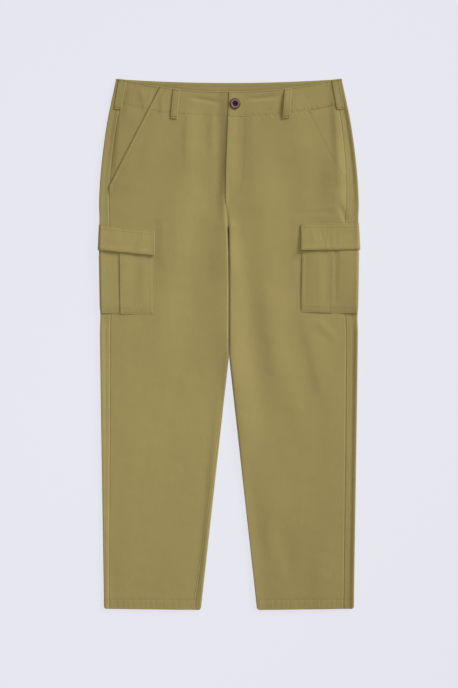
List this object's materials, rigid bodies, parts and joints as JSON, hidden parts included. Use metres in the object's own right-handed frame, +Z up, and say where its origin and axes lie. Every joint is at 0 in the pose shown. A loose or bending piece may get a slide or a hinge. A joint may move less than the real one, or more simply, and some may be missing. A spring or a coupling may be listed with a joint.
{
  "type": "cargo pants",
  "caption": "Men's cotton cargo pants lying flat, front up: buttoned fly, slant hand pockets, belt loops and pleated cargo pockets with flaps on the thighs.",
  "frame": {"origin": "centre of the bounding box's underside, on the surface that the pants lie on", "axes": "+Y towards the waist, +Z up out of the front of the pants, +X towards the wearer's left leg"},
  "size_m": [0.5142, 1.0404, 0.0135],
  "materials": {
    "cotton_twill": "matt khaki cotton twill",
    "button_metal": "dark bronze, satin, with a paler ring"
  },
  "bodies": {
    "root": {"back_panel_l": "cotton_twill", "back_panel_r": "cotton_twill", "belt_loop_front_l": "cotton_twill", "belt_loop_front_r": "cotton_twill", "belt_loop_side_l": "cotton_twill", "belt_loop_side_r": "cotton_twill", "cargo_flap_l": "cotton_twill", "cargo_flap_r": "cotton_twill", "cargo_pocket_back_l": "cotton_twill", "cargo_pocket_back_r": "cotton_twill", "cargo_pocket_front_l": "cotton_twill", "cargo_pocket_front_r": "cotton_twill", "cargo_pocket_pleat_l": "cotton_twill", "cargo_pocket_pleat_r": "cotton_twill", "front_panel_l": "cotton_twill", "front_panel_r": "cotton_twill", "pocket_facing_l": "cotton_twill", "pocket_facing_r": "cotton_twill", "waist_button": "button_metal", "waistband_back": "cotton_twill", "waistband_front_l": "cotton_twill", "waistband_front_r": "cotton_twill", "waistband_side_l": "cotton_twill", "waistband_side_r": "cotton_twill"}
  },
  "joints": []
}
